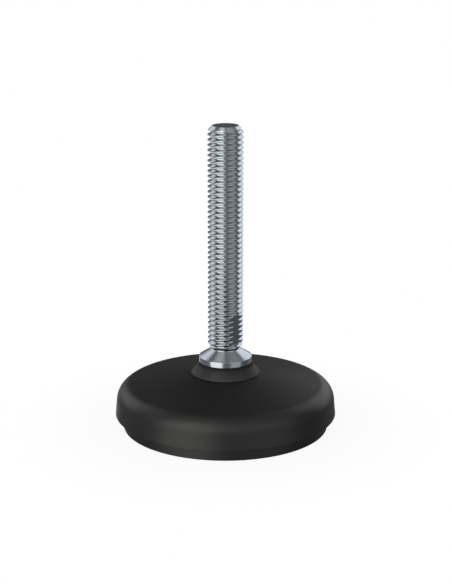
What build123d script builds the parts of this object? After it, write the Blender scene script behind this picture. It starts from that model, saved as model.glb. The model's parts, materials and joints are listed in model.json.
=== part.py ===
from build123d import *
import os
from math import cos, radians, sqrt, tan

# A machine levelling foot: a threaded stud with a ball end, held in a plastic cup in a
# round foot plate with a rubber pad under it. Millimetres. The floor is z = 0 and the
# stud's axis is the z axis.

# Rubber pad
PAD_VISIBLE = 4.5          # height of the pad that shows below the plate
PAD_INSET = 1.7            # height of the pad inside the plate
BEAD_RISE = 0.7            # how far the pad's snap bead stands out of its side
BEAD_HEIGHT = 0.8
BEAD_DROP = 0.3            # bead's upper edge below the top of the pad
PAD_FIT = 0.2              # gap between the pad's side and the plate
GRIP_GROOVES = 3
GRIP_FIRST_RADIUS = 11.0
GRIP_PITCH = 8.0
GRIP_WIDTH = 1.2
GRIP_DEPTH = 0.8

# Foot plate
PLATE_RADIUS = 37.9        # at its lower edge, the widest place
PLATE_OVERHANG = 2.7       # how far the plate's edge stands out past the pad
WALL_DRAFT = 5.1           # degrees, the wall leans inwards as it rises
TOP_SLOPE = 10.2           # degrees, the top rises towards the axis
SHOULDER_ROUND = 5.6
PLATE_WALL = 3.2
SOCKET_FLOOR = 2.2         # plate material under the cup
SOCKET_WALL = 2.6          # plate material round the cup
MOUTH_BEVEL = 0.5          # lead-in at the upper edge of the cup's bore
RIBS = 10
RIB_WIDTH = 2.0
RING_RIB_WIDTH = 2.2

# Ball joint
BALL_RADIUS = 6.5
BALL_DEPTH = 4.58          # ball's centre below the point that the plate's top rises to
RUNNING_FIT = 0.05         # radial clearance of what turns in the joint
CUP_WALL = 2.0
CUP_FLOOR = 1.2
CUP_RISE = 2.85            # height of the cup's rim above the ball's centre
CUP_BEVEL = 0.8
CUP_SLOTS = 4
CUP_SLOT_WIDTH = 0.9
CUP_SLOT_FOOT = 2.6        # height of the slots' lower end above the underside of the cup
SNAP_RISE = 0.35           # how far the cup's snap bead stands out
SNAP_HEIGHT = 1.2
SNAP_DROP = 3.4            # middle of the snap bead below the ball's centre

# Sealing cap
CAP_LIP_RADIUS = 11.72
CAP_LIP_GAP = 0.25         # between the lip's edge and the plate's top
CAP_HEIGHT = 4.02
CAP_SETBACK = 0.1          # how far the cap's flank starts inside the collar's rim
CAP_BEVEL = 0.25
CAP_ROOF = 1.4
CAP_LIP_WIDTH = 1.2        # thickness of the flank, measured level

# Stud
NECK_RADIUS = 4.2
COLLAR_RADIUS = 9.0
RIM_HEIGHT = 1.9
COLLAR_SLOPE = 31.5        # degrees of the collar's upper cone to the level
RELIEF_RADIUS = 4.75
RELIEF_LENGTH = 0.3
THREAD_RADIUS = 6.0        # major radius of the M12 thread
STUD_REACH = 79.5          # from the rim's upper edge to the stud's end
END_RADIUS = 4.4
FLAT_START = 5.2           # above the rim's upper edge
FLAT_LENGTH = 10.0
ACROSS_FLATS = 9.7         # for a 10 mm spanner
FLAT_TURN = 44.0           # degrees that the flats' normal is turned from -y towards +x

# Heights and radii that follow
pad_radius = PLATE_RADIUS - PLATE_OVERHANG
pad_top = PAD_VISIBLE + PAD_INSET
cup_seat = pad_top + SOCKET_FLOOR
ball_z = cup_seat + CUP_FLOOR + RUNNING_FIT + BALL_RADIUS
plate_peak = ball_z + BALL_DEPTH
cup_radius = BALL_RADIUS + RUNNING_FIT + CUP_WALL
bore_radius = cup_radius + RUNNING_FIT
boss_radius = bore_radius + SOCKET_WALL
top_fall = tan(radians(TOP_SLOPE))
lip_z = plate_peak - CAP_LIP_RADIUS * top_fall + CAP_LIP_GAP
collar_z = lip_z + CAP_HEIGHT
rim_z = collar_z + RIM_HEIGHT
relief_z = rim_z + (COLLAR_RADIUS - RELIEF_RADIUS) * tan(radians(COLLAR_SLOPE))
thread_z = relief_z + RELIEF_LENGTH
end_z = rim_z + STUD_REACH


def ring(inner, outer, low, high):
    """A plain ring about the z axis between two radii and two heights."""
    return Pos(0, 0, (low + high) / 2) * (
        Cylinder(outer, high - low) - Cylinder(inner, high - low)
    )


def disc(radius, low, high):
    """A plain disc about the z axis."""
    return Pos(0, 0, (low + high) / 2) * Cylinder(radius, high - low)


def turned(*points):
    """The solid that a closed outline of (radius, height) points sweeps round the z axis."""
    outline = Plane.XZ * make_face(Polyline(*points, close=True))
    return revolve(outline, Axis.Z)


def shell_outline(inset, foot):
    """Half section of the plate's outside, moved inwards by inset and open at the foot height.

    The wall's line and the top's line meet in a corner, which is rounded on the outside and
    bevelled between the same tangent points on the inside.
    """
    draft = tan(radians(WALL_DRAFT))
    wall_foot = PLATE_RADIUS - inset / cos(radians(WALL_DRAFT))
    peak = plate_peak - inset / cos(radians(TOP_SLOPE))
    corner_r = (wall_foot - (peak - PAD_VISIBLE) * draft) / (1 - top_fall * draft)
    corner_z = peak - corner_r * top_fall
    foot_r = wall_foot - (foot - PAD_VISIBLE) * draft
    outline = make_face(
        Polyline((0, foot), (foot_r, foot), (corner_r, corner_z), (0, peak), close=True)
    )
    corner = outline.vertices().sort_by_distance((corner_r, corner_z))[0]
    round_off = SHOULDER_ROUND - inset
    if inset == 0:
        return Plane.XZ * fillet(corner, round_off)
    half_turn = radians(90 - WALL_DRAFT - TOP_SLOPE) / 2
    return Plane.XZ * chamfer(corner, round_off * tan(half_turn))


def make_foot_plate():
    """One moulding: shell, boss with the cup's bore, radial ribs, ring rib and pad groove."""
    body = revolve(shell_outline(0, PAD_VISIBLE), Axis.Z)
    cavity = revolve(shell_outline(PLATE_WALL, pad_top), Axis.Z)
    cavity_radius = PLATE_RADIUS - PLATE_WALL
    ring_middle = (boss_radius + cavity_radius) / 2
    webs = disc(boss_radius, pad_top, plate_peak)
    webs += ring(
        ring_middle - RING_RIB_WIDTH / 2, ring_middle + RING_RIB_WIDTH / 2, pad_top, plate_peak
    )
    rib = Pos(PLATE_RADIUS / 2, 0, (pad_top + plate_peak) / 2) * Box(
        PLATE_RADIUS, RIB_WIDTH, plate_peak - pad_top
    )
    webs += PolarLocations(0, RIBS) * rib
    body -= cavity - webs

    body -= disc(pad_radius + PAD_FIT, 0, pad_top)
    bead_top = pad_top - BEAD_DROP + PAD_FIT / 2
    bead_low = bead_top - BEAD_HEIGHT - PAD_FIT
    body -= disc(pad_radius + BEAD_RISE + PAD_FIT, bead_low, bead_top)

    mouth_z = plate_peak - bore_radius * top_fall
    body -= disc(bore_radius, cup_seat, plate_peak)
    body -= turned(
        (0, mouth_z - MOUTH_BEVEL),
        (bore_radius, mouth_z - MOUTH_BEVEL),
        (bore_radius + 2 * MOUTH_BEVEL, mouth_z + MOUTH_BEVEL),
        (0, mouth_z + MOUTH_BEVEL),
    )
    snap_middle = ball_z - SNAP_DROP
    snap_half = SNAP_HEIGHT / 2 + RUNNING_FIT
    body -= disc(bore_radius + SNAP_RISE, snap_middle - snap_half, snap_middle + snap_half)
    return body


def make_rubber_pad():
    """Disc with a snap bead near its upper edge and ring grooves in its underside."""
    bead_top = pad_top - BEAD_DROP
    pad = disc(pad_radius, 0, pad_top)
    pad += disc(pad_radius + BEAD_RISE, bead_top - BEAD_HEIGHT, bead_top)
    for step in range(GRIP_GROOVES):
        inner = GRIP_FIRST_RADIUS + step * GRIP_PITCH
        pad -= ring(inner, inner + GRIP_WIDTH, 0, GRIP_DEPTH)
    return pad


def make_ball_cup():
    """Slit cup round the ball, with a snap bead on its fingers and a bevelled rim."""
    rim = ball_z + CUP_RISE
    snap_low = ball_z - SNAP_DROP - SNAP_HEIGHT / 2
    snap_radius = cup_radius + SNAP_RISE
    cup = turned(
        (0, cup_seat),
        (cup_radius - CUP_BEVEL, cup_seat),
        (cup_radius, cup_seat + CUP_BEVEL),
        (cup_radius, snap_low),
        (snap_radius, snap_low + SNAP_HEIGHT / 2),
        (snap_radius, snap_low + SNAP_HEIGHT),
        (cup_radius, snap_low + SNAP_HEIGHT),
        (cup_radius, rim - CUP_BEVEL),
        (cup_radius - CUP_BEVEL, rim),
        (0, rim),
    )
    cup -= Pos(0, 0, ball_z) * Sphere(BALL_RADIUS + RUNNING_FIT)
    slot_low = cup_seat + CUP_SLOT_FOOT
    slot = Pos(cup_radius, 0, (slot_low + rim) / 2) * Box(
        2 * cup_radius, CUP_SLOT_WIDTH, rim - slot_low
    )
    return cup - PolarLocations(0, CUP_SLOTS) * slot


def make_sealing_cap():
    """Hollow rubber cone from the collar's underside to a thin lip above the plate."""
    top_radius = COLLAR_RADIUS - CAP_SETBACK
    bore = NECK_RADIUS + RUNNING_FIT
    roof_z = collar_z - CAP_ROOF
    flank = (CAP_LIP_RADIUS - top_radius) / (CAP_HEIGHT - CAP_BEVEL)
    roof_radius = top_radius + (CAP_ROOF - CAP_BEVEL) * flank - CAP_LIP_WIDTH
    return turned(
        (bore, collar_z),
        (top_radius - CAP_BEVEL, collar_z),
        (top_radius, collar_z - CAP_BEVEL),
        (CAP_LIP_RADIUS, lip_z),
        (CAP_LIP_RADIUS - CAP_LIP_WIDTH, lip_z + CAP_LIP_WIDTH * top_fall),
        (roof_radius, roof_z),
        (bore, roof_z),
    )


def make_stud():
    """One turned piece: ball, neck, collar, thread relief and threaded shank with flats."""
    end_bevel = THREAD_RADIUS - END_RADIUS
    run_in = THREAD_RADIUS - RELIEF_RADIUS
    neck_foot = ball_z + sqrt(BALL_RADIUS**2 - NECK_RADIUS**2) / 2
    shaft = turned(
        (0, neck_foot),
        (NECK_RADIUS, neck_foot),
        (NECK_RADIUS, collar_z),
        (COLLAR_RADIUS, collar_z),
        (COLLAR_RADIUS, rim_z),
        (RELIEF_RADIUS, relief_z),
        (RELIEF_RADIUS, thread_z),
        (THREAD_RADIUS, thread_z + run_in),
        (THREAD_RADIUS, end_z - end_bevel),
        (END_RADIUS, end_z),
        (0, end_z),
    )
    stud = shaft + Pos(0, 0, ball_z) * Sphere(BALL_RADIUS)
    offcut = Pos(0, -ACROSS_FLATS, rim_z + FLAT_START + FLAT_LENGTH / 2) * Box(
        4 * THREAD_RADIUS, ACROSS_FLATS, FLAT_LENGTH
    )
    for turn in (FLAT_TURN, FLAT_TURN + 180):
        stud -= Rot(0, 0, turn) * offcut
    return stud


os.makedirs("parts", exist_ok=True)
export_step(make_foot_plate(), "parts/foot_plate.step")
export_step(make_rubber_pad(), "parts/rubber_pad.step")
export_step(make_ball_cup(), "parts/ball_cup.step")
export_step(make_sealing_cap(), "parts/sealing_cap.step")
export_step(make_stud(), "parts/stud.step")
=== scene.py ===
import json
from math import acos, cos, degrees, pi, radians, sin, tan

import bpy
import numpy as np
from bpy.props import FloatProperty, FloatVectorProperty, IntProperty, PointerProperty
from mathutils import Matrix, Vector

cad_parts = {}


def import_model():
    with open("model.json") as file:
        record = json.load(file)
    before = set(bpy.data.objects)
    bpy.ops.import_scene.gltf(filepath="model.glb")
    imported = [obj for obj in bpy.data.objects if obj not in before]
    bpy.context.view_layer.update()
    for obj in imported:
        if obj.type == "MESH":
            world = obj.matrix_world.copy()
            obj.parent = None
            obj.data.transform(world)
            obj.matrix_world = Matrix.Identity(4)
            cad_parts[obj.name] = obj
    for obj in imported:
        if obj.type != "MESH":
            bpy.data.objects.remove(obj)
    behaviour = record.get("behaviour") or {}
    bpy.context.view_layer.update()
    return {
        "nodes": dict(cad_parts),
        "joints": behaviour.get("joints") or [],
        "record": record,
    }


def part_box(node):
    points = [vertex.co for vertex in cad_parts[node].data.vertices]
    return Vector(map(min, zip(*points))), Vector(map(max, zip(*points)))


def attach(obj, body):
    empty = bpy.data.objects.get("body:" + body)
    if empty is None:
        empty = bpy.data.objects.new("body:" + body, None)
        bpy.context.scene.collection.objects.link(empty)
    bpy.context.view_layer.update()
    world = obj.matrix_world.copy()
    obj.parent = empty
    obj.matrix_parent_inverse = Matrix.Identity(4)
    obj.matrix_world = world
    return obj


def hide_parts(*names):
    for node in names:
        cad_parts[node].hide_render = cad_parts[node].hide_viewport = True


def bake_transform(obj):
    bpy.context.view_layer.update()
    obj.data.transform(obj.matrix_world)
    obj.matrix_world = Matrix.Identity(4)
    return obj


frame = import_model()

bl_info = {
    "name": "Machine Levelling Foot",
    "version": (1, 0, 0),
    "blender": (4, 5, 0),
    "location": "3D Viewport > Sidebar > Levelling Foot",
    "description": "Dresses a machine levelling foot: thread, seal, finishes and studio",
    "category": "Object",
}

# Lengths are in metres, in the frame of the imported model, and MM is one millimetre.
MM = 0.001

STUD_LOW, STUD_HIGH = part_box("stud")
SEAL_LOW, SEAL_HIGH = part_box("sealing_cap")
THREAD_MOUNT = [m for m in frame["record"]["mounts"] if m["name"] == "stud_thread"][0]
BALL_HEIGHT = [j for j in frame["joints"] if j["name"] == "stud_tilt"][0]["pos_m"][2]

# The form of a metric thread, with its lengths as shares of the pitch
CREST_WIDTH = 1 / 8
THREAD_DEPTH = 0.61343
CORNER_ROUND = 0.03             # where the rounding of crest and root starts, from the corner
FLANK_ANGLE = radians(60)       # between a flank and the axis

FRONT_TURN = 0.75               # share of a turn from +x to the front, where the camera stands
FLAT_END_STEEPNESS = 6.0        # rise of the ramp at each end of a flat, to one along the stud
LEAST_FACING = 0.1              # keeps the flats' formula finite where they face away
END_RINGS = (0.7, 0.4)          # rings on the stud's end face, as shares of its radius
TURNED_ROUND = 0.06 * MM        # where the rounding of a turned edge starts, from the edge
SEAL_ROUND = 0.12 * MM          # and that of the seal's edges

# The fineness of the meshes
TURNED_STEP = 0.6 * MM          # longest side of the turned profile
SEAL_STEP = 0.25 * MM           # and of the seal's
BALL_STEPS = 28                 # sides of the ball's arc
CORNER_STEPS = 3                # sides of the curve in a softened corner
LARGEST_CUT = 0.45              # share of a side that such a curve takes away at most
SHARP_ANGLE = radians(38)       # an edge sharper than this is shaded as an edge


class StudSizes(bpy.types.PropertyGroup):
    """Sizes of the turned and threaded stud."""

    thread_radius: FloatProperty(
        name="Thread radius", description="Major radius of the thread",
        default=THREAD_MOUNT["dims"]["r_mm"] * MM, unit="LENGTH", precision=5,
    )
    pitch: FloatProperty(
        name="Pitch", description="Rise of the thread in one turn",
        default=1.75 * MM, unit="LENGTH", precision=5,
    )
    end_radius: FloatProperty(
        name="End radius", description="Radius of the flat face at the stud's end",
        default=4.4 * MM, unit="LENGTH", precision=5,
    )
    relief_radius: FloatProperty(
        name="Relief radius", description="Radius of the groove between collar and thread",
        default=4.75 * MM, unit="LENGTH", precision=5,
    )
    relief_length: FloatProperty(
        name="Relief length", description="Height of that groove before the thread starts",
        default=0.3 * MM, unit="LENGTH", precision=5,
    )
    collar_slope: FloatProperty(
        name="Collar slope", description="Angle of the collar's upper cone to the level",
        default=radians(31.5), subtype="ANGLE",
    )
    rim_height: FloatProperty(
        name="Rim height", description="Height of the collar's upright rim",
        default=1.9 * MM, unit="LENGTH", precision=5,
    )
    neck_radius: FloatProperty(
        name="Neck radius", description="Radius of the neck between ball and collar",
        default=4.2 * MM, unit="LENGTH", precision=5,
    )
    across_flats: FloatProperty(
        name="Across flats", description="Width between the two spanner flats",
        default=9.7 * MM, unit="LENGTH", precision=5,
    )
    flat_start: FloatProperty(
        name="Flat start", description="Height of the flats' lower end above the rim",
        default=5.2 * MM, unit="LENGTH", precision=5,
    )
    flat_length: FloatProperty(
        name="Flat length", description="Length of the flats along the stud",
        default=10.0 * MM, unit="LENGTH", precision=5,
    )
    front_crest: FloatProperty(
        name="Front crest", description="Height of the thread's uppermost full crest at the front",
        default=101.72 * MM, unit="LENGTH", precision=5,
    )
    flat_turn: FloatProperty(
        name="Flat turn", description="Turn of the flats' normal from the front to the right",
        default=radians(44.0), subtype="ANGLE",
    )
    columns: IntProperty(
        name="Columns", description="Mesh columns round the stud", default=96, min=24,
    )


class SealSizes(bpy.types.PropertyGroup):
    """Sizes of the soft cone between the collar and the plate."""

    lip_width: FloatProperty(
        name="Lip width", description="Thickness of the flank, measured level",
        default=1.2 * MM, unit="LENGTH", precision=5,
    )
    roof: FloatProperty(
        name="Roof", description="Thickness under the collar",
        default=1.4 * MM, unit="LENGTH", precision=5,
    )
    top_radius: FloatProperty(
        name="Top radius", description="Radius of the flank's upper edge",
        default=8.9 * MM, unit="LENGTH", precision=5,
    )
    bore: FloatProperty(
        name="Bore", description="Radius of the hole for the stud's neck",
        default=4.25 * MM, unit="LENGTH", precision=5,
    )
    bevel: FloatProperty(
        name="Bevel", description="Bevel of the flank's upper edge, under the collar",
        default=0.45 * MM, unit="LENGTH", precision=5,
    )
    top_gap: FloatProperty(
        name="Top gap", description="Gap between the seal and the collar's underside",
        default=0.03 * MM, unit="LENGTH", precision=5,
    )
    lip_slope: FloatProperty(
        name="Lip slope", description="Angle of the lip's underside to the level",
        default=radians(10.2), subtype="ANGLE",
    )
    columns: IntProperty(
        name="Columns", description="Mesh columns round the seal", default=144, min=24,
    )


class Finishes(bpy.types.PropertyGroup):
    """Colours of the five materials."""

    zinc: FloatVectorProperty(
        name="Zinc plating", description="Colour of the bright zinc plating",
        default=(0.58, 0.65, 0.73), subtype="COLOR", min=0, max=1,
    )
    nylon: FloatVectorProperty(
        name="Black nylon", description="Colour of the moulded plate",
        default=(0.0116, 0.0118, 0.0122), subtype="COLOR", min=0, max=1,
    )
    pad_rubber: FloatVectorProperty(
        name="Pad rubber", description="Colour of the rubber pad",
        default=(0.0060, 0.0063, 0.0074), subtype="COLOR", min=0, max=1,
    )
    seal_rubber: FloatVectorProperty(
        name="Seal rubber", description="Colour of the rubber seal",
        default=(0.0215, 0.0220, 0.0240), subtype="COLOR", min=0, max=1,
    )
    acetal: FloatVectorProperty(
        name="Acetal", description="Colour of the ball cup",
        default=(0.78, 0.77, 0.73), subtype="COLOR", min=0, max=1,
    )


class StageSizes(bpy.types.PropertyGroup):
    """Camera, lamps and cards."""

    camera_distance: FloatProperty(
        name="Camera distance", description="From the camera to the point it looks at",
        default=0.54137, unit="LENGTH",
    )
    camera_elevation: FloatProperty(
        name="Camera elevation", description="Angle of the view above the level",
        default=radians(15.876), subtype="ANGLE",
    )
    aim_height: FloatProperty(
        name="Aim height", description="Height of the point that the camera looks at",
        default=0.047218, unit="LENGTH", precision=5,
    )
    aim_side: FloatProperty(
        name="Aim side", description="Sideways shift of camera and aim",
        default=0.000176, unit="LENGTH", precision=6,
    )
    focal_length: FloatProperty(
        name="Focal length", description="Of the lens, in millimetres, for a 36 mm sensor",
        default=98.42,
    )
    sky: FloatProperty(
        name="Sky", description="Level of the even light from all round", default=0.25, min=0,
    )
    key: FloatProperty(
        name="Key lamp", description="Power of the lamp at the front left, in watts",
        default=9.0, min=0,
    )
    fill: FloatProperty(
        name="Fill lamp", description="Power of the lamp at the front right, in watts",
        default=3.0, min=0,
    )
    card_distance: FloatProperty(
        name="Card distance", description="From the object to the cards it reflects",
        default=1.6, unit="LENGTH",
    )


# Profiles and meshes

def arc(centre, radius, start, end, steps):
    """Points on an arc of a profile: centre plus radius times the cosine and sine of the
    angle, which runs evenly from start to end in degrees."""
    angle = np.radians(np.linspace(start, end, steps + 1))
    return np.column_stack((centre[0] + radius * np.cos(angle), centre[1] + radius * np.sin(angle)))


def soften(corners, rounding):
    """Each inner corner of an open outline gives way to a short curve.

    The curve starts and ends at the rounding's distance from the corner, or at under half of
    the shorter side. Between them it is the quadratic blend (1-t)^2 a + 2t(1-t) corner + t^2 b.
    """
    corners = np.asarray(corners, float)
    before, here, after = corners[:-2], corners[1:-1], corners[2:]
    back, ahead = before - here, after - here
    back_length = np.linalg.norm(back, axis=1, keepdims=True)
    ahead_length = np.linalg.norm(ahead, axis=1, keepdims=True)
    cut = np.minimum(rounding, LARGEST_CUT * np.minimum(back_length, ahead_length))
    a = here + back / back_length * cut
    b = here + ahead / ahead_length * cut
    t = np.linspace(0, 1, CORNER_STEPS + 1)[None, :, None]
    curve = (1 - t) ** 2 * a[:, None] + 2 * t * (1 - t) * here[:, None] + t ** 2 * b[:, None]
    return np.vstack((corners[:1], curve.reshape(-1, 2), corners[-1:]))


def subdivided(points, longest):
    """The same outline with no side longer than the given length, by even steps on each side."""
    points = np.asarray(points, float)
    side = np.linalg.norm(np.diff(points, axis=0), axis=1)
    pieces = np.maximum(1, np.ceil(side / longest)).astype(int)
    first = np.repeat(np.arange(len(side)), pieces)
    step = np.arange(len(first)) - np.repeat(np.cumsum(pieces) - pieces, pieces)
    share = (step / pieces[first])[:, None]
    inner = points[first] * (1 - share) + points[first + 1] * share
    return np.vstack((inner, points[-1:]))


def around(profile, columns):
    """Points of a profile (r, z) turned about the z axis, row by row.

    Column j of a row stands at the angle 2 pi j / columns: its point is (r cos, r sin, z).
    """
    angle = 2 * pi * np.arange(columns)[None, :] / columns
    r, z = profile[:, 0][:, None], profile[:, 1][:, None]
    return np.stack((r * np.cos(angle), r * np.sin(angle), z + 0 * angle), axis=2).reshape(-1, 3)


def bands(rings):
    """Quads between each ring of vertex numbers and the next, facing outwards where the
    rings go up the outside."""
    rings = np.asarray(rings)
    low, high = rings[:-1], rings[1:]
    quads = np.stack((low, np.roll(low, -1, axis=1), np.roll(high, -1, axis=1), high), axis=2)
    return quads.reshape(-1, 4)


def triangles_of(quads):
    """Two triangles from each quad, less those in which a vertex number comes twice."""
    triangles = np.vstack((quads[:, [0, 1, 2]], quads[:, [0, 2, 3]]))
    a, b, c = triangles.T
    return triangles[(a != b) & (b != c) & (c != a)]


def new_object(name, data):
    """An object in the scene that holds the given mesh, lamp or camera."""
    made = bpy.data.objects.new(name, data)
    bpy.context.scene.collection.objects.link(made)
    return made


def make_piece(name, vertices, triangles):
    """A mesh object at the origin, smooth but for its sharp edges."""
    used, numbers = np.unique(triangles, return_inverse=True)
    mesh = bpy.data.meshes.new(name)
    mesh.from_pydata(vertices[used].tolist(), [], numbers.reshape(-1, 3).tolist())
    mesh.shade_smooth()
    mesh.set_sharp_from_angle(angle=SHARP_ANGLE)
    return new_object(name, mesh)


def thread_section(pitch, radius):
    """Half a pitch of a metric thread: offset from the crest's middle, and radius.

    The crest is an eighth of the pitch wide. The flank falls with the slope tan 60 degrees down
    to the thread's depth. What the two flanks leave there is the level root. The flank's two
    corners are rounded, and it has a point at its middle. The crest needs no point at its own.
    """
    crest = CREST_WIDTH * pitch / 2
    depth = THREAD_DEPTH * pitch
    root = crest + depth / tan(FLANK_ANGLE)
    corners = [
        (0, radius), (crest, radius), (root, radius - depth), (pitch / 2, radius - depth)
    ]
    rounded = soften(corners, CORNER_ROUND * pitch)[1:]
    upper, lower = np.split(rounded, [CORNER_STEPS + 1])
    return np.vstack((upper, (upper[-1] + lower[0]) / 2, lower))


def threaded_shank(sizes, low, high, flat_low):
    """Vertices and triangles of the threaded length, and the numbers of its two end rings.

    Row k of column j lies at the height start + pitch * j / columns + offset k, so that the
    rows climb with the thread, one pitch a turn, and rise to the right as on a right-hand
    screw. The offsets of one pitch are the half section and its mirror image. After the last
    column the surface goes on in the first one, one pitch higher.

    Heights are held between low and high. The radius is the smallest of the thread's own, the
    run-in cone's at the lower end, the bevel's at the upper end and, at the flats, half their
    width divided by the cosine of the angle to their normal, which opens steeply past their
    two ends.
    """
    pitch, columns = sizes.pitch, sizes.columns
    section = thread_section(pitch, sizes.thread_radius)
    offset = np.concatenate((section[:, 0], pitch - section[-2::-1, 0]))
    reach = np.concatenate((section[:, 1], section[-2::-1, 1]))
    start = sizes.front_crest - FRONT_TURN * pitch
    start -= np.ceil((start - low) / pitch + 1) * pitch
    turns = int(np.ceil((high - start) / pitch)) + 1
    offset = (offset[None, :] + pitch * np.arange(turns)[:, None]).ravel()
    reach = np.tile(reach, turns)

    column = np.arange(columns)[:, None]
    raised = start + pitch * column / columns + offset[None, :]
    height = np.clip(raised, low, high)
    angle = 2 * pi * column / columns
    radius = np.minimum(reach[None, :], sizes.relief_radius + (height - low))
    radius = np.minimum(radius, sizes.end_radius + (high - height))
    facing = np.abs(np.cos(angle - (sizes.flat_turn - pi / 2)))
    past_end = np.maximum(flat_low - height, height - flat_low - sizes.flat_length)
    flat_reach = sizes.across_flats / 2 + FLAT_END_STEEPNESS * np.maximum(past_end, 0)
    radius = np.minimum(radius, flat_reach / np.maximum(facing, LEAST_FACING))
    points = np.stack((radius * np.cos(angle), radius * np.sin(angle), height), axis=2)

    # Of the rows of a column that are held at one end, only the innermost one is used.
    rows = len(offset)
    lowest = (raised <= low).sum(axis=1) - 1
    highest = rows - (raised >= high).sum(axis=1)
    pitch_rows = 2 * len(section) - 1
    j, k = np.meshgrid(np.arange(columns), np.arange(rows - 1), indexing="ij")
    j, k = j.ravel(), k.ravel()
    last = j == columns - 1
    right, climb = np.where(last, 0, j + 1), np.where(last, pitch_rows, 0)

    def number(of_column, row):
        """Vertex number, with the rows that are held at an end counted as one."""
        return of_column * rows + np.clip(row, lowest[of_column], highest[of_column])

    quads = np.column_stack(
        (number(j, k), number(right, k + climb), number(right, k + 1 + climb), number(j, k + 1))
    )
    ring = np.arange(columns)
    return points.reshape(-1, 3), triangles_of(quads), ring * rows + lowest, ring * rows + highest


def stud_piece(sizes):
    """The stud as one closed surface: ball, neck, collar and relief are a profile turned about
    the axis, the threaded shank stands on it, and level rings close its end."""
    columns = sizes.columns
    collar_radius = STUD_HIGH.x
    rim_low = SEAL_HIGH.z
    rim_high = rim_low + sizes.rim_height
    relief = rim_high + (collar_radius - sizes.relief_radius) * tan(sizes.collar_slope)
    thread_low = relief + sizes.relief_length
    shank, shank_triangles, first_ring, last_ring = threaded_shank(
        sizes, thread_low, STUD_HIGH.z, rim_high + sizes.flat_start
    )

    ball_radius = BALL_HEIGHT - STUD_LOW.z
    neck_angle = acos(sizes.neck_radius / ball_radius)
    ball = arc((0, BALL_HEIGHT), ball_radius, -90, degrees(neck_angle), BALL_STEPS)
    turned = soften([
        tuple(ball[-1]),
        (sizes.neck_radius, rim_low),
        (collar_radius, rim_low),
        (collar_radius, rim_high),
        (sizes.relief_radius, relief),
        (sizes.relief_radius, thread_low),
    ], TURNED_ROUND)
    below = np.vstack((ball[1:], subdivided(turned, TURNED_STEP)[1:-1]))
    above = np.array([(sizes.end_radius * share, STUD_HIGH.z) for share in END_RINGS])
    poles = np.array([(0, 0, STUD_LOW.z), (0, 0, STUD_HIGH.z)])

    vertices = np.vstack((shank, around(below, columns), around(above, columns), poles))
    below_start = len(shank)
    above_start = below_start + len(below) * columns
    pole_start = above_start + len(above) * columns
    below_rings = below_start + np.arange(len(below) * columns).reshape(-1, columns)
    above_rings = above_start + np.arange(len(above) * columns).reshape(-1, columns)
    lower = bands(np.vstack((np.full(columns, pole_start), below_rings, first_ring)))
    upper = bands(np.vstack((last_ring, above_rings, np.full(columns, pole_start + 1))))
    triangles = np.vstack((shank_triangles, triangles_of(lower), triangles_of(upper)))
    return make_piece("threaded_stud", vertices, triangles)


def seal_piece(sizes):
    """The seal as one closed outline turned about the axis. From the seam it runs in under the
    collar, down the bore, out along the roof's underside, down inside the flank to the lip, up
    the flank outside and over the bevel back to the seam."""
    lip_radius, bevel, top = SEAL_HIGH.x, sizes.bevel, SEAL_HIGH.z - sizes.top_gap
    lip_rise = sizes.lip_width * tan(sizes.lip_slope)
    roof_low = SEAL_HIGH.z - sizes.roof
    lean = (lip_radius - sizes.top_radius) / (top - bevel - SEAL_LOW.z)
    roof_radius = sizes.top_radius + (top - bevel - roof_low) * lean - sizes.lip_width
    seam = ((sizes.bore + sizes.top_radius) / 2, top)
    outline = soften([
        seam,
        (sizes.bore, top),
        (sizes.bore, roof_low),
        (roof_radius, roof_low),
        (lip_radius - sizes.lip_width, SEAL_LOW.z + lip_rise),
        (lip_radius, SEAL_LOW.z),
        (sizes.top_radius, top - bevel),
        (sizes.top_radius - bevel, top),
        seam,
    ], SEAL_ROUND)
    rows = subdivided(outline, SEAL_STEP)[:-1]
    rings = np.arange(len(rows) * sizes.columns).reshape(-1, sizes.columns)
    quads = bands(np.vstack((rings, rings[:1])))
    return make_piece("soft_seal", around(rows, sizes.columns), triangles_of(quads))


# Shader nodes

WHITE = (1, 1, 1, 1)
BLACK = (0, 0, 0, 1)
MIX_FIRST, MIX_SECOND, MIX_RESULT = 6, 7, 2     # the colour sockets of a Mix node
RADIUS_WEIGHT = 1.3             # of the radius beside the height in the turning marks

# The zinc plating: its roughness, what adds to that, and how far its colour changes
ZINC_ROUGHNESS = 0.05
ZINC_CHANGE_ROUGHER = 0.03
ZINC_MARKS_ROUGHER = 0.03
ZINC_TURNED_ROUGHER = 0.12
ZINC_CUT_ROUGHER = 0.12
ZINC_CUT_DARKER = 0.25
ZINC_MARKS_TINT = 0.04
CUT_SKIN = 0.02 * MM            # what lies nearer than this to the stud's end is its cut face

# Moulded plastic and rubber: changes of the roughness and of the colour
MOULDED_CHANGE_ROUGHER = 0.06
MOULDED_GRAIN_ROUGHER = 0.05
MOULDED_GRAIN_TINT = 0.25
SEAL_SHADE_ROUGHER = 0.5
SEAL_SHADE = 1.6 * MM           # height of the seal's dull stretch under the collar


def add(tree, kind, inputs=None, **settings):
    """A node of that kind. An input is set to a value, or linked where it is given a socket."""
    made = tree.nodes.new(kind)
    for name, value in settings.items():
        setattr(made, name, value)
    for name, value in (inputs or {}).items():
        if isinstance(value, bpy.types.NodeSocket):
            tree.links.new(value, made.inputs[name])
        else:
            made.inputs[name].default_value = value
    return made


def sums(tree, operation, first, second=0.0, third=0.0):
    """The output of a Math node."""
    return add(tree, "ShaderNodeMath", {0: first, 1: second, 2: third}, operation=operation).outputs[0]


def ramp(tree, value, start, end):
    """The value's way from start to end as a number from 0 to 1, held there past the two."""
    limits = {"Value": value, "From Min": start, "From Max": end}
    return add(tree, "ShaderNodeMapRange", limits).outputs["Result"]


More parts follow.
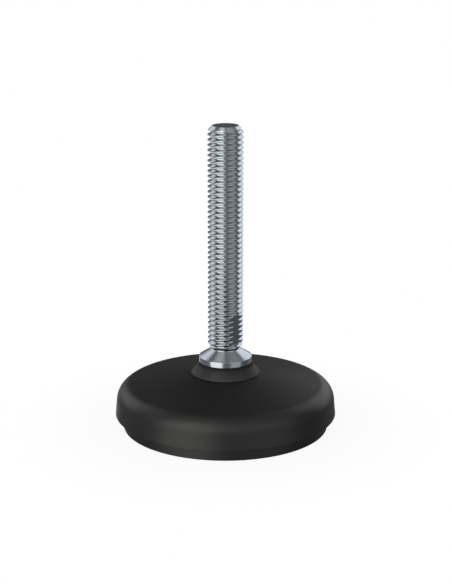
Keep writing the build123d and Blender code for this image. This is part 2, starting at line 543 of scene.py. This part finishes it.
def mixed(tree, share, first, second):
    """A colour that goes from the first to the second as the share goes from 0 to 1."""
    colours = {"Factor": share, MIX_FIRST: first, MIX_SECOND: second}
    return add(tree, "ShaderNodeMix", colours, data_type="RGBA").outputs[MIX_RESULT]


def object_height(tree):
    """The height of the place on the piece, in metres."""
    place = add(tree, "ShaderNodeTexCoord").outputs["Object"]
    return add(tree, "ShaderNodeSeparateXYZ", {"Vector": place}).outputs["Z"]


def new_group(name, inputs, outputs):
    """An empty node group with number sockets, and its input and output nodes."""
    group = bpy.data.node_groups.new(name, "ShaderNodeTree")
    for label, value in inputs:
        socket = group.interface.new_socket(name=label, in_out="INPUT", socket_type="NodeSocketFloat")
        socket.default_value = value
    for label in outputs:
        group.interface.new_socket(name=label, in_out="OUTPUT", socket_type="NodeSocketFloat")
    return group, add(group, "NodeGroupInput"), add(group, "NodeGroupOutput")


def grain_group():
    """Fine uneven skin: noise of the given size about zero, times the depth, in metres."""
    group, given, result = new_group(
        "Fine grain", [("Size", 0.4 * MM), ("Depth", 0.004 * MM)], ["Height", "Value"]
    )
    place = add(group, "ShaderNodeTexCoord").outputs["Object"]
    scale = sums(group, "DIVIDE", 1.0, given.outputs["Size"])
    noise = add(
        group, "ShaderNodeTexNoise", {"Vector": place, "Scale": scale, "Detail": 3.0, "Roughness": 0.6}
    ).outputs["Fac"]
    centred = sums(group, "SUBTRACT", noise, 0.5)
    height = sums(group, "MULTIPLY", centred, given.outputs["Depth"])
    group.links.new(height, result.inputs["Height"])
    group.links.new(noise, result.inputs["Value"])
    return group


def change_group():
    """Slow change from place to place: wide soft noise of the given size, stretched to run
    from 0 to 1."""
    group, given, result = new_group("Slow change", [("Size", 12 * MM)], ["Value"])
    place = add(group, "ShaderNodeTexCoord").outputs["Object"]
    scale = sums(group, "DIVIDE", 1.0, given.outputs["Size"])
    noise = add(
        group, "ShaderNodeTexNoise", {"Vector": place, "Scale": scale, "Detail": 2.0, "Roughness": 0.5}
    ).outputs["Fac"]
    group.links.new(ramp(group, noise, start=0.3, end=0.7), result.inputs["Value"])
    return group


def turning_group():
    """Marks of a lathe tool: noise of z plus 1.3 times the radius, divided by the spacing, so
    that it only changes along the profile and runs round the axis."""
    group, given, result = new_group(
        "Turning marks", [("Spacing", 0.2 * MM), ("Depth", 0.0006 * MM)], ["Height", "Value"]
    )
    place = add(group, "ShaderNodeTexCoord").outputs["Object"]
    split = add(group, "ShaderNodeSeparateXYZ", {"Vector": place}).outputs
    squares = sums(group, "ADD", sums(group, "MULTIPLY", split["X"], split["X"]),
                   sums(group, "MULTIPLY", split["Y"], split["Y"]))
    along = sums(group, "MULTIPLY_ADD", sums(group, "SQRT", squares), RADIUS_WEIGHT, split["Z"])
    position = sums(group, "DIVIDE", along, given.outputs["Spacing"])
    noise = add(
        group, "ShaderNodeTexNoise", {"W": position, "Scale": 1.0, "Detail": 2.0}, noise_dimensions="1D"
    ).outputs["Fac"]
    centred = sums(group, "SUBTRACT", noise, 0.5)
    height = sums(group, "MULTIPLY", centred, given.outputs["Depth"])
    group.links.new(height, result.inputs["Height"])
    group.links.new(noise, result.inputs["Value"])
    return group


def shared(name, maker):
    """The node group of that name, made on first use."""
    return bpy.data.node_groups.get(name) or maker()


def place_group(tree, name, maker, inputs):
    """The outputs of a shared group, placed in a material with its own values."""
    return add(tree, "ShaderNodeGroup", inputs, node_tree=shared(name, maker)).outputs


def new_material(name, colour, **constants):
    """A material with a Principled BSDF that has the constants on its sockets, with its node
    tree and that shader. The colour is what a plain view without nodes shows."""
    material = bpy.data.materials.new(name)
    material.use_nodes = True
    material.diffuse_color = (*colour, 1)
    tree = material.node_tree
    shader = tree.nodes["Principled BSDF"]
    for label, value in constants.items():
        shader.inputs[label.replace("_", " ")].default_value = value
    return material, tree, shader


def tinted(tree, colour, share, value):
    """The colour, from darker by the share to lighter by it as the value goes from 0 to 1."""
    dark = [channel * (1 - share) for channel in colour]
    light = [min(1, channel * (1 + share)) for channel in colour]
    return mixed(tree, value, (*dark, 1), (*light, 1))


def bumped(tree, shader, height):
    """Moves the shader's normal by a height in metres."""
    bump = add(tree, "ShaderNodeBump", {"Height": height, "Distance": 1.0, "Strength": 1.0})
    tree.links.new(bump.outputs["Normal"], shader.inputs["Normal"])


def zinc_material(colour, thread_middle, thread_length, cut_height):
    """Bright zinc on steel: fine turning marks and a sheen that changes softly.

    The rolled thread is smoother than the turned faces past its two ends, and these are
    smoother and brighter than the face where the bar was cut off, at the cut height. That face
    is plain, without the marks' relief.
    """
    material, tree, shader = new_material("zinc_plated_steel", colour, Metallic=1.0)
    change = place_group(tree, "Slow change", change_group, {"Size": 6 * MM})["Value"]
    marks = place_group(
        tree, "Turning marks", turning_group, {"Spacing": 0.22 * MM, "Depth": 0.0009 * MM}
    )
    grain = place_group(tree, "Fine grain", grain_group, {"Size": 0.12 * MM, "Depth": 0.0004 * MM})
    height = object_height(tree)
    away = sums(tree, "ABSOLUTE", sums(tree, "SUBTRACT", height, thread_middle))
    past = sums(tree, "GREATER_THAN", away, thread_length / 2)
    cut = sums(tree, "GREATER_THAN", height, cut_height - CUT_SKIN)

    rough = sums(tree, "MULTIPLY_ADD", change, ZINC_CHANGE_ROUGHER, ZINC_ROUGHNESS)
    rough = sums(tree, "MULTIPLY_ADD", marks["Value"], ZINC_MARKS_ROUGHER, rough)
    rough = sums(tree, "MULTIPLY_ADD", past, ZINC_TURNED_ROUGHER, rough)
    rough = sums(tree, "MULTIPLY_ADD", cut, ZINC_CUT_ROUGHER, rough)
    tree.links.new(rough, shader.inputs["Roughness"])
    plating = tinted(tree, colour, ZINC_MARKS_TINT, marks["Value"])
    plating = mixed(tree, sums(tree, "MULTIPLY", cut, ZINC_CUT_DARKER), plating, BLACK)
    tree.links.new(plating, shader.inputs["Base Color"])
    relief = sums(tree, "ADD", marks["Height"], grain["Height"])
    bumped(tree, shader, sums(tree, "MULTIPLY", relief, sums(tree, "SUBTRACT", 1.0, cut)))
    return material


def moulded_material(name, colour, roughness, grain_size, grain_depth, ior=1.5):
    """Moulded plastic or rubber: a matte skin with fine grain and a slight uneven sheen."""
    material, tree, shader = new_material(name, colour, IOR=ior)
    change = place_group(tree, "Slow change", change_group, {"Size": 15 * MM})["Value"]
    grain = place_group(tree, "Fine grain", grain_group, {"Size": grain_size, "Depth": grain_depth})
    speckled = tinted(tree, colour, MOULDED_GRAIN_TINT, grain["Value"])
    tree.links.new(speckled, shader.inputs["Base Color"])
    smoothest = roughness - MOULDED_CHANGE_ROUGHER / 2
    rough = sums(tree, "MULTIPLY_ADD", change, MOULDED_CHANGE_ROUGHER, smoothest)
    rough = sums(tree, "MULTIPLY_ADD", grain["Value"], MOULDED_GRAIN_ROUGHER, rough)
    tree.links.new(rough, shader.inputs["Roughness"])
    bumped(tree, shader, grain["Height"])
    return material


def seal_material(colour, low, high):
    """Seal rubber: moulded rubber with painted shade under the collar, its colour darkening to black
    from the lip up to the collar, and dull in the shaded last stretch under it, which nothing rubs
    clean."""
    material = moulded_material(
        "seal_rubber", colour, roughness=0.50, grain_size=0.30 * MM, grain_depth=0.006 * MM
    )
    tree = material.node_tree
    into = tree.nodes["Principled BSDF"].inputs
    speckled = into["Base Color"].links[0].from_socket
    rough = into["Roughness"].links[0].from_socket
    height = object_height(tree)
    # Painted shade under the collar's rim: the colour goes over into black from the lip up to the
    # collar.
    rise = ramp(tree, height, start=low, end=high)
    dull = ramp(tree, height, start=high - SEAL_SHADE, end=high)
    tree.links.new(mixed(tree, rise, speckled, BLACK), into["Base Color"])
    duller = sums(tree, "MULTIPLY_ADD", dull, SEAL_SHADE_ROUGHER, rough)
    tree.links.new(duller, into["Roughness"])
    return material


def dress(piece, material):
    """Gives the piece this material and no other."""
    piece.data.materials.clear()
    piece.data.materials.append(material)


# Stage

SURROUND_COLUMNS, SURROUND_ROWS = 240, 121
FLOOR_COLUMNS, FLOOR_RINGS = 64, 8
FLOOR_INNER_RADIUS = 0.05       # of its first ring
FLOOR_DROP = 0.02 * MM          # keeps the floor out of the plane of the pad's underside
FLOOR_COLOUR = (0.92, 0.92, 0.92)
SHADOW_START, SHADOW_END = 0.03, 0.08       # from the middle: the floor goes over into white there
SHADOW_WHITE = 0.93             # share of plain white inside that, which leaves a soft shadow
SENSOR_WIDTH = 36.0             # of the camera, in millimetres


def direction(azimuth, elevation):
    """Unit vectors, with the azimuth in radians from the camera's side of the object, growing
    to the right: (sin a cos e, -cos a cos e, sin e)."""
    return np.stack(
        (np.sin(azimuth) * np.cos(elevation), -np.cos(azimuth) * np.cos(elevation), np.sin(elevation)),
        axis=-1,
    )


# What reflections show round the object, on a white background: cards, given by their azimuth
# from and to, elevation from and to and the width of their soft edge, all in degrees, by their
# brightness, and by the warmth of their light, which is below 0 where it is cool. A later card
# stands in front of an earlier one. Azimuth 0 is the camera's side, and the left is below 0.
CARDS = [
    (-180, 180, -90, 10, 6, 0.18, 0),       # dark lower half
    (150, 210, -60, -22, 10, 0.25, 0),      # low behind
    (-179, -152, -60, -4, 5, 0.70, 0),      # low behind, at the left
    (-175, -95, 5, 60, 10, 0.92, -0.3),     # tall panel behind, at the left
    (95, 180, 2, 60, 10, 0.94, -0.4),       # tall panel behind, at the right
    (-180, 0, 46, 95, 14, 0.11, 0),         # dark ceiling, left half
    (0, 180, 45, 95, 9, 0.11, 0),           # dark ceiling, right half
    (-170, -100, 63, 84, 9, 0.45, 1),       # ceiling light behind, at the left
    (100, 172, 55, 84, 6, 0.25, 1),         # ceiling light behind, at the right
    (140, 190, 66, 95, 12, 0.15, 0),        # dark ceiling behind
    (-110, -68, -90, 82, 5, 0.15, 0),       # dark panel at the left
    (-88, -60, 54, 82, 8, 0.78, 1),         # ceiling light at the left
    (-68, -13, -90, 82, 5, 0.78, 1),        # bright panel at the front left
    (-68, -13, -34, 57, 5, 1.18, 1),        # brighter middle of that panel
    (-68, -13, 8, 46, 8, 1.75, 0.5),        # and its brightest part
    (-13, 23, -90, 45, 5, 0.13, 0),         # dark panel behind the camera
    (-13, 23, 45, 86, 6, 0.20, 0),          # dark ceiling above the camera
    (23, 72, -90, 82, 5, 0.40, 0.5),        # grey panel at the front right
    (-13, 72, 8, 48, 8, 0.65, 0.5),         # brighter band from the middle to the right
    (72, 118, -90, 42, 8, 0.09, 0),         # dark panel at the right
    (70, 100, 45, 82, 8, 0.36, 0.5),        # ceiling light at the right
    (180, 204, -8, 50, 24, 0.08, 0),        # dark panel behind, left of the middle
    (168, 192, -8, 26, 6, 0.11, 0),         # dark panel behind, in the middle
    (162, 204, 22, 64, 8, 0.03, 0),         # and a darker one above it
]
WARM_TINT = np.array((0.05, 0.03, -0.06))   # what a warm card's light has more of red, green and blue


def soft_step(inside, edge):
    """0 outside and 1 inside a card: t = inside / edge + 1/2, held to 0..1, then 3t^2 - 2t^3."""
    t = np.clip(inside / edge + 0.5, 0, 1)
    return t * t * (3 - 2 * t)


def card_light(azimuth, elevation):
    """Colour in each direction: white, and then each card laid over it by its two soft steps."""
    light = np.ones((*azimuth.shape, 4))
    for left, right, low, high, edge, brightness, warmth in CARDS:
        across = (azimuth - (left + right) / 2 + 180) % 360 - 180
        upward = elevation - (low + high) / 2
        cover = soft_step((right - left) / 2 - np.abs(across), edge)
        cover = cover * soft_step((high - low) / 2 - np.abs(upward), edge)
        colour = brightness * (1 + warmth * WARM_TINT)
        light[..., :3] += cover[..., None] * (colour - light[..., :3])
    return light


def surround(distance):
    """A sphere about the object that shows the cards, and that only reflections see.

    Row and column give elevation and azimuth in even steps, and the light of each vertex is
    kept in the attribute light.
    """
    azimuth = np.linspace(-180, 180, SURROUND_COLUMNS, endpoint=False)
    elevation = np.linspace(90, -90, SURROUND_ROWS)
    azimuth, elevation = np.meshgrid(azimuth, elevation)
    points = distance * direction(np.radians(azimuth), np.radians(elevation)) + (0, 0, BALL_HEIGHT)
    quads = bands(np.arange(azimuth.size).reshape(azimuth.shape))
    mesh = bpy.data.meshes.new("surround")
    mesh.from_pydata(points.reshape(-1, 3).tolist(), [], quads.tolist())
    light = mesh.attributes.new("light", "FLOAT_COLOR", "POINT")
    light.data.foreach_set("color", card_light(azimuth, elevation).ravel())
    piece = new_object("surround", mesh)

    material = bpy.data.materials.new("studio_cards")
    material.use_nodes = True
    tree = material.node_tree
    tree.nodes.clear()
    colour = add(tree, "ShaderNodeAttribute", attribute_name="light").outputs["Color"]
    glow = add(tree, "ShaderNodeEmission", {"Color": colour, "Strength": 1.0})
    add(tree, "ShaderNodeOutputMaterial", {"Surface": glow.outputs[0]})
    material.cycles.emission_sampling = "NONE"
    dress(piece, material)
    piece.visible_camera = False
    piece.visible_diffuse = False
    piece.visible_shadow = False
    piece.visible_transmission = False
    piece.visible_volume_scatter = False


def floor():
    """A round pale floor. The camera sees plain white there, and near the object a share of the
    lit floor in it, which keeps the object's shadow.

    Ring k about the axis has the inner radius times 2 to the power k, and inside the first one
    lies one point. The rings are listed from the outside in, so that the floor faces up.
    """
    radius = np.append(FLOOR_INNER_RADIUS * 2.0 ** np.arange(FLOOR_RINGS)[::-1], 0)
    profile = np.column_stack((radius, np.full(len(radius), -FLOOR_DROP)))
    vertices = around(profile, FLOOR_COLUMNS)
    rings = np.arange(len(vertices)).reshape(-1, FLOOR_COLUMNS)
    rings[-1] = rings[-1, 0]
    piece = make_piece("floor", vertices, triangles_of(bands(rings)))
    material, tree, shader = new_material(
        "pale_floor", FLOOR_COLOUR,
        Base_Color=(*FLOOR_COLOUR, 1), Roughness=0.9, Specular_IOR_Level=0.0,
    )
    place = add(tree, "ShaderNodeTexCoord").outputs["Object"]
    away = add(tree, "ShaderNodeVectorMath", {0: place}, operation="LENGTH").outputs["Value"]
    limits = {"From Min": SHADOW_START, "From Max": SHADOW_END, "To Min": SHADOW_WHITE}
    share = add(
        tree, "ShaderNodeMapRange", {"Value": away, **limits}, interpolation_type="SMOOTHSTEP"
    ).outputs["Result"]
    seen = add(tree, "ShaderNodeLightPath").outputs["Is Camera Ray"]
    share = sums(tree, "MULTIPLY", share, seen)
    white = add(tree, "ShaderNodeEmission", {"Color": WHITE, "Strength": 1.0}).outputs[0]
    blend = add(tree, "ShaderNodeMixShader", {0: share, 1: shader.outputs[0], 2: white})
    tree.links.new(blend.outputs[0], tree.nodes["Material Output"].inputs["Surface"])
    dress(piece, material)
    piece.visible_glossy = False


def world(sky):
    """White where the camera, a reflection or a clear piece looks, and the sky's level of
    even light for everything else."""
    scene = bpy.context.scene
    scene.world = bpy.data.worlds.new("studio")
    scene.world.use_nodes = True
    tree = scene.world.node_tree
    tree.nodes.clear()
    rays = add(tree, "ShaderNodeLightPath").outputs
    seen = sums(tree, "MAXIMUM", rays["Is Camera Ray"], rays["Is Glossy Ray"])
    seen = sums(tree, "MAXIMUM", seen, rays["Is Transmission Ray"])
    even = add(tree, "ShaderNodeBackground", {"Color": WHITE, "Strength": sky}).outputs[0]
    white = add(tree, "ShaderNodeBackground", {"Color": WHITE, "Strength": 1.0}).outputs[0]
    blend = add(tree, "ShaderNodeMixShader", {0: seen, 1: even, 2: white})
    add(tree, "ShaderNodeOutputWorld", {"Surface": blend.outputs[0]})


def lamp(name, azimuth, elevation, distance, size, power):
    """A square soft lamp that faces the origin, in the middle of the object's underside, and
    isn't seen in reflections. Its azimuth and elevation are in degrees."""
    light = bpy.data.lights.new(name, "AREA")
    light.size = size
    light.energy = power
    holder = new_object(name, light)
    holder.location = distance * direction(radians(azimuth), radians(elevation))
    holder.rotation_euler = (pi / 2 - radians(elevation), 0, radians(azimuth))
    holder.visible_glossy = False


def camera(sizes):
    """The camera in front of the object, looking down at the photograph's angle."""
    lens = bpy.data.cameras.new("camera")
    lens.lens = sizes.focal_length
    lens.sensor_width = SENSOR_WIDTH
    lens.clip_start = 10 * MM
    holder = new_object("camera", lens)
    e, distance = sizes.camera_elevation, sizes.camera_distance
    holder.location = (sizes.aim_side, -distance * cos(e), sizes.aim_height + distance * sin(e))
    holder.rotation_euler = (pi / 2 - e, 0, 0)
    bpy.context.scene.camera = holder


class LEVELLING_FOOT_OT_stage(bpy.types.Operator):
    """Sets up the floor, the white background, the lamps, the cards and the camera"""

    bl_idname = "levelling_foot.stage"
    bl_label = "Stage"

    def execute(self, context):
        sizes = context.scene.levelling_stage
        context.scene.view_settings.view_transform = "Standard"
        world(sizes.sky)
        floor()
        lamp("key", azimuth=-25, elevation=14, distance=1.0, size=0.7, power=sizes.key)
        lamp("fill", azimuth=60, elevation=14, distance=1.2, size=0.8, power=sizes.fill)
        surround(sizes.card_distance)
        camera(sizes)
        return {"FINISHED"}


class LEVELLING_FOOT_OT_stud(bpy.types.Operator):
    """Makes the stud with its real thread and gives it bright zinc plating"""

    bl_idname = "levelling_foot.stud"
    bl_label = "Threaded stud"

    def execute(self, context):
        piece = stud_piece(context.scene.levelling_stud)
        dress(piece, zinc_material(
            context.scene.levelling_finishes.zinc,
            thread_middle=THREAD_MOUNT["pos_m"][2],
            thread_length=THREAD_MOUNT["dims"]["length_mm"] * MM,
            cut_height=STUD_HIGH.z,
        ))
        piece.visible_glossy = False
        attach(piece, "stud")
        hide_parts("stud")
        return {"FINISHED"}


class LEVELLING_FOOT_OT_seal(bpy.types.Operator):
    """Makes the soft seal, from its lip on the plate up to its roof under the collar, and gives it seal
    rubber
    """

    bl_idname = "levelling_foot.seal"
    bl_label = "Soft seal"

    def execute(self, context):
        sizes = context.scene.levelling_seal
        piece = seal_piece(sizes)
        colour = context.scene.levelling_finishes.seal_rubber
        dress(piece, seal_material(colour, low=SEAL_LOW.z, high=SEAL_HIGH.z))
        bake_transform(piece)
        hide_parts("sealing_cap")
        return {"FINISHED"}


class LEVELLING_FOOT_OT_mouldings(bpy.types.Operator):
    """Finishes the plate, the pad and the ball cup"""

    bl_idname = "levelling_foot.mouldings"
    bl_label = "Plate, pad and cup"

    def execute(self, context):
        colours = context.scene.levelling_finishes
        nodes = frame["nodes"]
        nodes["foot_plate"].visible_glossy = False
        dress(nodes["foot_plate"], moulded_material(
            "black_nylon", colours.nylon,
            roughness=0.36, grain_size=0.50 * MM, grain_depth=0.022 * MM,
        ))
        dress(nodes["rubber_pad"], moulded_material(
            "black_rubber", colours.pad_rubber,
            roughness=0.42, grain_size=0.35 * MM, grain_depth=0.008 * MM,
        ))
        dress(nodes["ball_cup"], moulded_material(
            "acetal", colours.acetal,
            roughness=0.35, grain_size=0.30 * MM, grain_depth=0.002 * MM, ior=1.48,
        ))
        return {"FINISHED"}


class LEVELLING_FOOT_PT_panel(bpy.types.Panel):
    """Sizes, finishes and steps of the levelling foot"""

    bl_idname = "LEVELLING_FOOT_PT_panel"
    bl_label = "Levelling Foot"
    bl_space_type = "VIEW_3D"
    bl_region_type = "UI"
    bl_category = "Levelling Foot"

    def draw(self, context):
        for label, group, operator in STEPS:
            box = self.layout.box()
            box.operator(operator, text=label)
            settings = getattr(context.scene, group)
            for name in settings.__annotations__:
                box.prop(settings, name)


STEPS = [
    ("Stage", "levelling_stage", "levelling_foot.stage"),
    ("Threaded stud", "levelling_stud", "levelling_foot.stud"),
    ("Soft seal", "levelling_seal", "levelling_foot.seal"),
    ("Plate, pad and cup", "levelling_finishes", "levelling_foot.mouldings"),
]
GROUPS = {
    "levelling_stage": StageSizes,
    "levelling_stud": StudSizes,
    "levelling_seal": SealSizes,
    "levelling_finishes": Finishes,
}
CLASSES = [
    *GROUPS.values(),
    LEVELLING_FOOT_OT_stage,
    LEVELLING_FOOT_OT_stud,
    LEVELLING_FOOT_OT_seal,
    LEVELLING_FOOT_OT_mouldings,
    LEVELLING_FOOT_PT_panel,
]


def register():
    """Adds the classes, and the settings to the scene."""
    for each in CLASSES:
        bpy.utils.register_class(each)
    for name, group in GROUPS.items():
        setattr(bpy.types.Scene, name, PointerProperty(type=group))


def unregister():
    """Takes the settings and the classes away again."""
    for name in GROUPS:
        delattr(bpy.types.Scene, name)
    for each in reversed(CLASSES):
        bpy.utils.unregister_class(each)


def main():
    register()
    bpy.ops.levelling_foot.stage()
    bpy.ops.levelling_foot.stud()
    bpy.ops.levelling_foot.seal()
    bpy.ops.levelling_foot.mouldings()


if __name__ == "__main__":
    main()
